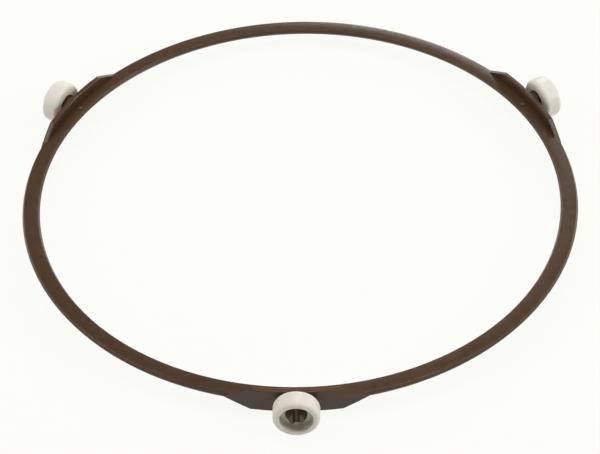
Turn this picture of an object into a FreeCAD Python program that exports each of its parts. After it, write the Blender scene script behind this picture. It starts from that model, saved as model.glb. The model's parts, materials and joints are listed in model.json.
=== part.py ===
import FreeCAD
import Part

import math
import os

# All sizes are in millimetres, all angles in degrees.

# Band of the ring
ring_outer_dia = 204.0
band_width = 6.4
band_bevel = 0.6
band_edge_thickness = 2.2
band_edge_radius = 0.25
band_crown = 0.22
# Share of the band's upper face that the arc of its crown takes
crown_spread = 0.7

# Roller stations, evenly spaced around the ring
station_names = ["roller_front", "roller_rear_right", "roller_rear_left"]
first_station_angle = -90.0

# Tab: the curved wall of a station, along the outer edge of the band
tab_thickness = 1.8
tab_proud = 0.1
tab_top_length = 30.3
tab_slope_run = 7.6
tab_corner_radius = 4.0
tab_edge_radius = 0.45

# Gate mark on top of the band, behind the middle of each tab
gate_dia = 1.8
gate_height = 0.15

# Roller
roller_dia = 16.0
roller_length = 6.6
roller_edge_radius = 1.3
roller_rim_wall = 2.2
inner_recess_depth = 1.0
recess_draft = 0.2
recess_rim_chamfer = 0.2

# Collar and axle with a slotted snap head, which carry a roller
axle_dia = 5.8
axle_rise = 0.5
collar_shoulder = 0.5
collar_flare = 0.4
collar_margin = 0.1
collar_sink = 0.05
hook_height = 0.8
head_land = 0.5
head_length = 2.4
tip_taper = 0.3
tip_setback = 0.6
slot_width = 2.3
slot_depth = 2.1

# Clearances between roller and ring
roller_gap = 2.1
running_clearance = 0.08
end_play = 0.3
collar_clearance = 0.55

# Heights, with the rollers standing on Z = 0
axle_height = roller_dia / 2
band_mid_height = axle_height - axle_rise

# Diameters around the roller axis
bore_dia = axle_dia + 2 * running_clearance
collar_dia = axle_dia + 2 * collar_shoulder
head_dia = axle_dia + 2 * hook_height
head_tip_dia = axle_dia - 2 * tip_taper
inner_recess_dia = collar_dia + 2 * collar_clearance
outer_recess_dia = roller_dia - 2 * roller_rim_wall

# The tab reaches past the foot of the collar, as far below the band as above it
collar_foot_radius = collar_dia / 2 + collar_flare
tab_height = 2 * (axle_rise + collar_foot_radius + collar_margin + tab_edge_radius)

# Distances from the axis of the ring
ring_outer_radius = ring_outer_dia / 2
ring_inner_radius = ring_outer_radius - band_width
tab_outer_radius = ring_outer_radius + tab_proud
tab_inner_radius = tab_outer_radius - tab_thickness
collar_foot = math.sqrt(tab_outer_radius**2 - collar_foot_radius**2) - collar_sink
roller_inner_face = tab_outer_radius + roller_gap
roller_outer_face = roller_inner_face + roller_length
head_tip = roller_outer_face - tip_setback
head_shoulder = head_tip - head_length
web_outer_face = head_shoulder - end_play
web_inner_face = roller_inner_face + inner_recess_depth
collar_end = web_inner_face - end_play
slot_root = head_tip - slot_depth

UP = FreeCAD.Vector(0, 0, 1)
OUTWARD = FreeCAD.Vector(1, 0, 0)
CENTRE = FreeCAD.Vector(0, 0, 0)
AXLE_FOOT = FreeCAD.Vector(0, 0, axle_height)


def round_corner(before, corner, after, radius):
    """Start, middle and end of the arc that rounds one corner of an outline."""
    to_before = (before - corner).normalize()
    to_after = (after - corner).normalize()
    half_angle = to_before.getAngle(to_after) / 2
    setback = radius / math.tan(half_angle)
    start = corner + to_before * setback
    end = corner + to_after * setback
    inward = (to_before + to_after).normalize()
    middle = corner + inward * (radius / math.sin(half_angle) - radius)
    return start, middle, end


def outline_face(corners):
    """Face inside an outline of (point, radius) corners; radius 0 keeps a corner sharp."""
    arcs = []
    for i in range(len(corners)):
        point, radius = corners[i]
        before = corners[i - 1][0]
        after = corners[(i + 1) % len(corners)][0]
        if radius > 0:
            arcs.append(round_corner(before, point, after, radius))
        else:
            arcs.append((point, None, point))
    edges = []
    for i in range(len(arcs)):
        start, middle, end = arcs[i]
        if middle is not None:
            edges.append(Part.Arc(start, middle, end).toShape())
        next_start = arcs[(i + 1) % len(arcs)][0]
        edges.append(Part.makeLine(end, next_start))
    return Part.Face(Part.Wire(edges))


def make_band():
    """Band with bevelled sides, widest at mid-height, and slightly crowned faces."""
    middle = ring_outer_radius - band_width / 2
    half_face = band_width / 2 - band_bevel
    crown_radius = crown_spread * half_face**2 / band_crown
    edge = band_edge_thickness / 2
    crest = edge + band_crown

    def corner(radius, above, rounding):
        return FreeCAD.Vector(radius, 0, band_mid_height + above), rounding

    section = outline_face([
        corner(ring_inner_radius, 0, 0),
        corner(middle - half_face, -edge, band_edge_radius),
        corner(middle, -crest, crown_radius),
        corner(middle + half_face, -edge, band_edge_radius),
        corner(ring_outer_radius, 0, 0),
        corner(middle + half_face, edge, band_edge_radius),
        corner(middle, crest, crown_radius),
        corner(middle - half_face, edge, band_edge_radius),
    ])
    return section.revolve(CENTRE, UP, 360)


def make_tab():
    """Curved wall that slopes down into the band at both ends, on the +X side."""
    half_height = tab_height / 2
    half_top = tab_top_length / 2
    run_per_rise = tab_slope_run / (half_height - band_edge_thickness / 2)
    half_length = half_top + run_per_rise * half_height

    low = band_mid_height - half_height
    high = band_mid_height + half_height
    wall_section = outline_face([
        (FreeCAD.Vector(tab_inner_radius, 0, low), tab_edge_radius),
        (FreeCAD.Vector(tab_outer_radius, 0, low), tab_edge_radius),
        (FreeCAD.Vector(tab_outer_radius, 0, high), tab_edge_radius),
        (FreeCAD.Vector(tab_inner_radius, 0, high), tab_edge_radius),
    ])
    half_sweep = 2 * math.degrees(half_length / tab_inner_radius)
    wall = wall_section.revolve(CENTRE, UP, 2 * half_sweep)
    wall.rotate(CENTRE, UP, -half_sweep)

    def corner(along, above, rounding):
        point = FreeCAD.Vector(tab_inner_radius / 2, along, band_mid_height + above)
        return point, rounding

    # The outline passes just above and below the wall, so that its long edges stay rounded
    lift = tab_edge_radius / 8
    clear_height = half_height + lift
    clear_half = half_top - run_per_rise * lift
    side_view = outline_face([
        corner(-half_length, 0, 0),
        corner(-clear_half, -clear_height, tab_corner_radius),
        corner(clear_half, -clear_height, tab_corner_radius),
        corner(half_length, 0, 0),
        corner(clear_half, clear_height, tab_corner_radius),
        corner(-clear_half, clear_height, tab_corner_radius),
    ])
    return wall.common(side_view.extrude(OUTWARD * tab_outer_radius))


def make_axle():
    """Collar with a flared foot and axle with a slotted snap head, turned about the roller axis."""
    root = tab_outer_radius - tab_thickness / 2

    def corner(along, radius):
        return FreeCAD.Vector(along, 0, axle_height + radius), 0

    section = outline_face([
        corner(root, 0),
        corner(root, collar_foot_radius),
        corner(collar_foot, collar_foot_radius),
        corner(collar_foot + collar_flare, collar_dia / 2),
        corner(collar_end, collar_dia / 2),
        corner(collar_end, axle_dia / 2),
        corner(head_shoulder, axle_dia / 2),
        corner(head_shoulder, head_dia / 2),
        corner(head_shoulder + head_land, head_dia / 2),
        corner(head_tip, head_tip_dia / 2),
        corner(head_tip, 0),
    ])
    axle = section.revolve(AXLE_FOOT, OUTWARD, 360)

    slot_start = slot_root + slot_width / 2
    low = axle_height - head_dia
    slot = Part.makeBox(
        head_tip - slot_root,
        slot_width,
        2 * head_dia,
        FreeCAD.Vector(slot_start, -slot_width / 2, low),
    )
    slot_end = Part.makeCylinder(slot_width / 2, 2 * head_dia, FreeCAD.Vector(slot_start, 0, low))
    return axle.cut(slot.fuse(slot_end))


def make_gate_mark():
    place = (ring_inner_radius + tab_inner_radius) / 2
    base = FreeCAD.Vector(place, 0, band_mid_height)
    height = band_edge_thickness / 2 + band_crown + gate_height
    return Part.makeCylinder(gate_dia / 2, height, base)


def make_roller():
    """Roller with a web between two recesses, on the +X side."""
    tread = roller_dia / 2
    outer_mouth = outer_recess_dia / 2
    inner_mouth = inner_recess_dia / 2
    bore = bore_dia / 2

    def corner(along, radius, rounding):
        return FreeCAD.Vector(along, 0, axle_height + radius), rounding

    section = outline_face([
        corner(roller_inner_face, tread, roller_edge_radius),
        corner(roller_outer_face, tread, roller_edge_radius),
        corner(roller_outer_face, outer_mouth + recess_rim_chamfer, 0),
        corner(roller_outer_face - recess_rim_chamfer, outer_mouth, 0),
        corner(web_outer_face, outer_mouth - recess_draft, 0),
        corner(web_outer_face, bore, 0),
        corner(web_inner_face, bore, 0),
        corner(web_inner_face, inner_mouth - recess_draft, 0),
        corner(roller_inner_face + recess_rim_chamfer, inner_mouth, 0),
        corner(roller_inner_face, inner_mouth + recess_rim_chamfer, 0),
    ])
    return section.revolve(AXLE_FOOT, OUTWARD, 360)


def at_station(shape, index):
    placed = shape.copy()
    placed.rotate(CENTRE, UP, first_station_angle + index * 360.0 / len(station_names))
    return placed


os.makedirs("parts", exist_ok=True)

station_parts = [make_tab(), make_axle(), make_gate_mark()]
roller_shape = make_roller()
moulded = []
for index in range(len(station_names)):
    for shape in station_parts:
        moulded.append(at_station(shape, index))
    at_station(roller_shape, index).exportStep("parts/" + station_names[index] + ".step")
ring = make_band().fuse(moulded)
ring.exportStep("parts/ring.step")
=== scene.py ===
import json
import math

import bpy
from mathutils import Matrix, Vector


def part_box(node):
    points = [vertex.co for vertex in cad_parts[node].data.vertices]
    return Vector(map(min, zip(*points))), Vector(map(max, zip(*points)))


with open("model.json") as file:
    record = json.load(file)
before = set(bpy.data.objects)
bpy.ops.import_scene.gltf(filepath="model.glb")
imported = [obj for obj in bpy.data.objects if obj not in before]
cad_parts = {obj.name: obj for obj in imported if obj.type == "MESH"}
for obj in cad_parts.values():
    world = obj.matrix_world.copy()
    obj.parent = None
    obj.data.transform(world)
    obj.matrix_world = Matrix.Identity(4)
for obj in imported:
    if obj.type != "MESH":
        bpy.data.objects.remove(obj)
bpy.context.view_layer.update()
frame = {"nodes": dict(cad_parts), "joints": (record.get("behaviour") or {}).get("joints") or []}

nodes = frame["nodes"]
scene = bpy.context.scene

# Sizes of the part that the finishes follow, in metres: the rims of the band's faces, where a
# lighter line is partly edge wear and partly a painted glint, the gate marks, the rollers with
# the inner and outer half width of their running bands, and a rubbed edge
OUTER_EDGE = 0.1012
INNER_EDGE = 0.0964
BAND_HEIGHT = 0.0075
GATE_REACH = 0.09795
GATE_RADIUS = 0.0009
ROLLER_RADIUS = 0.008
RECESS_RADIUS = 0.0058
RUNNING_BAND = (0.0016, 0.0026)
EDGE = 0.0009


# Materials

def material(name):
    m = bpy.data.materials.new(name)
    m.use_nodes = True
    tree = m.node_tree
    tree.nodes.clear()
    out = tree.nodes.new("ShaderNodeOutputMaterial")
    bsdf = tree.nodes.new("ShaderNodeBsdfPrincipled")
    tree.links.new(bsdf.outputs["BSDF"], out.inputs["Surface"])
    return m, tree, bsdf


def noise(tree, coords, scale, detail=4.0, rough=0.5):
    n = tree.nodes.new("ShaderNodeTexNoise")
    n.inputs["Scale"].default_value = scale
    n.inputs["Detail"].default_value = detail
    n.inputs["Roughness"].default_value = rough
    tree.links.new(coords, n.inputs["Vector"])
    return n.outputs["Fac"]


def spread(tree, fac, low, high, out_low, out_high):
    r = tree.nodes.new("ShaderNodeMapRange")
    r.inputs["From Min"].default_value = low
    r.inputs["From Max"].default_value = high
    r.inputs["To Min"].default_value = out_low
    r.inputs["To Max"].default_value = out_high
    tree.links.new(fac, r.inputs["Value"])
    return r.outputs["Result"]


def ramp(tree, fac, stops):
    r = tree.nodes.new("ShaderNodeValToRGB")
    for i, (pos, colour) in enumerate(stops):
        e = r.color_ramp.elements[i] if i < 2 else r.color_ramp.elements.new(pos)
        e.position = pos
        e.color = (*colour, 1.0)
    tree.links.new(fac, r.inputs["Fac"])
    return r.outputs["Color"]


def bump(tree, height, strength, distance, normal=None):
    b = tree.nodes.new("ShaderNodeBump")
    b.inputs["Strength"].default_value = strength
    b.inputs["Distance"].default_value = distance
    tree.links.new(height, b.inputs["Height"])
    if normal is not None:
        tree.links.new(normal, b.inputs["Normal"])
    return b.outputs["Normal"]


def part_way(tree, value, low, high):
    """0 at low, 1 at high, smooth between."""
    r = tree.nodes.new("ShaderNodeMapRange")
    r.interpolation_type = "SMOOTHSTEP"
    r.inputs["From Min"].default_value = low
    r.inputs["From Max"].default_value = high
    tree.links.new(value, r.inputs["Value"])
    return r.outputs["Result"]


def maths(tree, operation, *values):
    n = tree.nodes.new("ShaderNodeMath")
    n.operation = operation
    for socket, value in zip(n.inputs, values):
        if isinstance(value, (int, float)):
            socket.default_value = value
        else:
            tree.links.new(value, socket)
    return n.outputs["Value"]


def vectors(tree, operation, first, second=None, output="Vector"):
    n = tree.nodes.new("ShaderNodeVectorMath")
    n.operation = operation
    for socket, value in zip(n.inputs, (first, second)):
        if isinstance(value, (tuple, list, Vector)):
            socket.default_value = value
        elif value is not None:
            tree.links.new(value, socket)
    return n.outputs[output]


def around_axis(tree, coords, origin, axis):
    """Distance along an axis from its origin, and distance from the axis."""
    offset = vectors(tree, "SUBTRACT", coords, origin)
    along = vectors(tree, "DOT_PRODUCT", offset, axis, "Value")
    radius = vectors(tree, "LENGTH", vectors(tree, "CROSS_PRODUCT", offset, axis), None, "Value")
    return along, radius


def tint(tree, colour, fac, to_colour):
    n = tree.nodes.new("ShaderNodeMix")
    n.data_type = "RGBA"
    n.blend_type = "MULTIPLY"
    tree.links.new(fac, n.inputs["Factor"])
    tree.links.new(colour, n.inputs["A"])
    n.inputs["B"].default_value = (*to_colour, 1.0)
    return n.outputs["Result"]


def brown_plastic():
    """Dark brown moulding: cloudy flow tones, fine grain, rubbed edges lightened partly as wear
    and partly as a painted glint, paler gate marks.
    """
    m, tree, bsdf = material("ring_plastic")
    coords = tree.nodes.new("ShaderNodeTexCoord").outputs["Object"]
    clouds = maths(tree, "ADD", maths(tree, "MULTIPLY", noise(tree, coords, 26.0, 3.0), 0.6),
                   maths(tree, "MULTIPLY", noise(tree, coords, 240.0, 4.0), 0.4))
    tone = ramp(tree, clouds, [
        (0.36, (0.0700, 0.0370, 0.0170)),
        (0.50, (0.0765, 0.0406, 0.0190)),
        (0.64, (0.0835, 0.0447, 0.0214)),
    ])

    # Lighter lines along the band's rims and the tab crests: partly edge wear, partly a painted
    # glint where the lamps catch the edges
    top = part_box("ring")[1][2]
    height, reach = around_axis(tree, coords, (0, 0, 0), (0, 0, 1))
    off_rim = maths(tree, "ABSOLUTE", maths(tree, "SUBTRACT", reach, OUTER_EDGE))
    off_bore = maths(tree, "ABSOLUTE", maths(tree, "SUBTRACT", reach, INNER_EDGE))
    line = part_way(tree, maths(tree, "MINIMUM", off_rim, off_bore), EDGE / 2, EDGE / 8)
    crest = part_way(tree, height, top - EDGE / 2, top - EDGE / 8)
    edges = maths(tree, "MAXIMUM", line, crest)
    patchy = part_way(tree, noise(tree, coords, 34.0, 5.0, 0.55), 0.44, 0.58)
    wear_and_painted_glint = maths(tree, "MULTIPLY", edges, patchy)
    tone = tint(tree, tone, wear_and_painted_glint, (1.38, 1.50, 1.75))

    upper = part_way(tree, height, BAND_HEIGHT, BAND_HEIGHT + EDGE)
    for joint in frame["joints"]:
        gate = Vector((*joint["pos_m"][:2], 0.0)).normalized() * GATE_REACH
        _, off_gate = around_axis(tree, coords, gate, (0, 0, 1))
        torn = part_way(tree, off_gate, GATE_RADIUS, GATE_RADIUS * 0.7)
        tone = tint(tree, tone, maths(tree, "MULTIPLY", torn, upper), (1.70, 2.30, 3.40))
    tree.links.new(tone, bsdf.inputs["Base Color"])

    dull = spread(tree, noise(tree, coords, 420.0), 0.3, 0.7, 0.27, 0.37)
    tree.links.new(maths(tree, "SUBTRACT", dull, maths(tree, "MULTIPLY", wear_and_painted_glint, 0.12)),
                   bsdf.inputs["Roughness"])
    grain = bump(tree, noise(tree, coords, 2600.0, 2.0), 0.09, 0.00008)
    waves = bump(tree, noise(tree, coords, 160.0, 2.0), 0.10, 0.0004, grain)
    tree.links.new(waves, bsdf.inputs["Normal"])
    bsdf.inputs["Specular IOR Level"].default_value = 0.36
    return m


def white_plastic(joint):
    """Off-white roller: fine rings around its axis, a duller running band, and painted shade: a
    darker, warmer tint inside the recess.
    """
    m, tree, bsdf = material(joint["child"] + "_plastic")
    coords = tree.nodes.new("ShaderNodeTexCoord").outputs["Object"]
    along, radius = around_axis(tree, coords, joint["pos_m"], joint["axis"])
    rings = tree.nodes.new("ShaderNodeCombineXYZ")
    tree.links.new(along, rings.inputs["X"])
    tree.links.new(radius, rings.inputs["Y"])
    rings = rings.outputs["Vector"]

    tone = ramp(tree, noise(tree, coords, 150.0, 4.0), [
        (0.32, (0.876, 0.846, 0.765)),
        (0.50, (0.890, 0.860, 0.782)),
        (0.68, (0.904, 0.874, 0.799)),
    ])
    tread = part_way(tree, radius, ROLLER_RADIUS - EDGE, ROLLER_RADIUS)
    middle = part_way(tree, maths(tree, "ABSOLUTE", along), RUNNING_BAND[1], RUNNING_BAND[0])
    scuffs = part_way(tree, noise(tree, coords, 520.0, 4.0, 0.6), 0.42, 0.66)
    run = maths(tree, "MULTIPLY", maths(tree, "MULTIPLY", tread, middle), scuffs)
    tone = tint(tree, tone, run, (0.955, 0.950, 0.940))
    # Painted shade: the recess is tinted darker and warmer, standing in for the shade that falls
    # inside it
    painted_recess_shade = part_way(tree, radius, RECESS_RADIUS + EDGE / 3, RECESS_RADIUS - EDGE / 3)
    tone = tint(tree, tone, painted_recess_shade, (0.93, 0.89, 0.85))
    tree.links.new(tone, bsdf.inputs["Base Color"])

    satin = spread(tree, noise(tree, rings, 900.0), 0.3, 0.7, 0.34, 0.46)
    tree.links.new(maths(tree, "ADD", satin, maths(tree, "MULTIPLY", run, 0.08)),
                   bsdf.inputs["Roughness"])
    turned = bump(tree, noise(tree, rings, 4200.0, 2.0), 0.10, 0.00006)
    tree.links.new(bump(tree, noise(tree, coords, 1900.0, 2.0), 0.06, 0.00008, turned),
                   bsdf.inputs["Normal"])
    bsdf.inputs["Subsurface Weight"].default_value = 0.2
    bsdf.inputs["Subsurface Radius"].default_value = (1.0, 0.9, 0.75)
    bsdf.inputs["Subsurface Scale"].default_value = 0.001
    return m


def dress(node, m):
    obj = nodes[node]
    obj.data.materials.clear()
    obj.data.materials.append(m)


dress("ring", brown_plastic())
for joint in frame["joints"]:
    dress(joint["child"], white_plastic(joint))


# Floor and low backdrop: pale, and seen by the camera as a near-white ground with a faint shadow

def ground_material():
    m = bpy.data.materials.new("ground")
    m.use_nodes = True
    tree = m.node_tree
    tree.nodes.clear()
    out = tree.nodes.new("ShaderNodeOutputMaterial")
    diffuse = tree.nodes.new("ShaderNodeBsdfDiffuse")
    diffuse.inputs["Color"].default_value = (0.93, 0.915, 0.88, 1.0)
    glow = tree.nodes.new("ShaderNodeEmission")
    glow.inputs["Color"].default_value = (1.0, 1.0, 0.962, 1.0)
    glow.inputs["Strength"].default_value = 1.0
    seen = tree.nodes.new("ShaderNodeMixShader")
    seen.inputs["Fac"].default_value = 0.92
    tree.links.new(diffuse.outputs["BSDF"], seen.inputs[1])
    tree.links.new(glow.outputs["Emission"], seen.inputs[2])

    path = tree.nodes.new("ShaderNodeLightPath").outputs
    mirrored = maths(tree, "MAXIMUM", path["Is Glossy Ray"], path["Is Transmission Ray"])
    pick = tree.nodes.new("ShaderNodeMixShader")
    tree.links.new(maths(tree, "MAXIMUM", path["Is Camera Ray"], mirrored), pick.inputs["Fac"])
    tree.links.new(diffuse.outputs["BSDF"], pick.inputs[1])
    tree.links.new(seen.outputs["Shader"], pick.inputs[2])
    tree.links.new(pick.outputs["Shader"], out.inputs["Surface"])
    return m


FLOOR_SIZE = 8.0
BACKDROP_RADIUS, BACKDROP_HEIGHT = 2.5, 1.0

bpy.ops.mesh.primitive_plane_add(size=FLOOR_SIZE, location=(0, 0, 0))
floor = bpy.context.object
floor.name = "floor"
bpy.ops.mesh.primitive_cylinder_add(
    vertices=96, radius=BACKDROP_RADIUS, depth=BACKDROP_HEIGHT, end_fill_type="NOTHING",
    location=(0, 0, BACKDROP_HEIGHT / 2))
backdrop = bpy.context.object
backdrop.name = "backdrop"
ground = ground_material()
for surface in (floor, backdrop):
    surface.data.materials.append(ground)


# World and lamps

LAMP_DISTANCE = 1.2

world = bpy.data.worlds.new("studio")
scene.world = world
world.use_nodes = True
background = world.node_tree.nodes["Background"]
background.inputs["Color"].default_value = (1.0, 0.985, 0.95, 1.0)
background.inputs["Strength"].default_value = 0.13


def direction(azimuth, elevation):
    """Unit vector towards an azimuth from +X and an elevation above the floor, in degrees."""
    a, e = math.radians(azimuth), math.radians(elevation)
    return Vector((math.cos(a) * math.cos(e), math.sin(a) * math.cos(e), math.sin(e)))


def lamp(name, azimuth, elevation, width, height, power):
    data = bpy.data.lights.new(name, "AREA")
    data.shape = "RECTANGLE"
    data.size = width
    data.size_y = height
    data.energy = power
    data.color = (1.0, 0.992, 0.965)
    obj = bpy.data.objects.new(name, data)
    scene.collection.objects.link(obj)
    way = direction(azimuth, elevation)
    obj.location = way * LAMP_DISTANCE
    obj.rotation_euler = way.to_track_quat("Z", "Y").to_euler()


lamp("overhead", 90.0, 82.0, 0.5, 0.5, 2.8)
lamp("left_high", 180.0, 58.0, 0.5, 0.5, 2.6)
lamp("right_high", 0.0, 58.0, 0.5, 0.5, 2.8)
lamp("left_low", -170.0, 27.0, 0.3, 0.25, 2.4)
lamp("right_low", -12.0, 25.0, 0.3, 0.25, 4.1)
lamp("rear", 79.5, 24.0, 0.4, 0.25, 2.9)


# Camera

IMAGE_WIDTH, IMAGE_HEIGHT = 600, 454
RING_RADIUS, RING_RADIUS_PX = 0.102, 276.79
RING_RADII_AWAY = 8.02
AIM, AIM_PX = Vector((0.0, 0.0, BAND_HEIGHT)), (299.8, 195.3)
AZIMUTH, ELEVATION, ROLL = -88.29, 42.76, -1.63
SENSOR_WIDTH = 36.0

distance = RING_RADII_AWAY * RING_RADIUS
focal_px = RING_RADIUS_PX * RING_RADII_AWAY
back = direction(AZIMUTH, ELEVATION)
right = Vector((0, 0, 1)).cross(back).normalized()
up = back.cross(right)
turn = Matrix((right, up, back)).transposed()
turn = turn @ Matrix.Rotation(math.radians(ROLL), 3, "Z")
pitch = math.atan((IMAGE_HEIGHT / 2 - AIM_PX[1]) / focal_px)
yaw = math.atan((IMAGE_WIDTH / 2 - AIM_PX[0]) / focal_px)
turn = turn @ Matrix.Rotation(-pitch, 3, "X") @ Matrix.Rotation(-yaw, 3, "Y")

camera = bpy.data.cameras.new("camera")
camera.sensor_fit = "HORIZONTAL"
camera.sensor_width = SENSOR_WIDTH
camera.lens = focal_px / IMAGE_WIDTH * SENSOR_WIDTH
camera.clip_start = 0.01
camera.clip_end = 50.0
camera_object = bpy.data.objects.new("camera", camera)
camera_object.matrix_world = Matrix.Translation(AIM + back * distance) @ turn.to_4x4()
scene.collection.objects.link(camera_object)
scene.camera = camera_object

scene.view_settings.view_transform = "Standard"
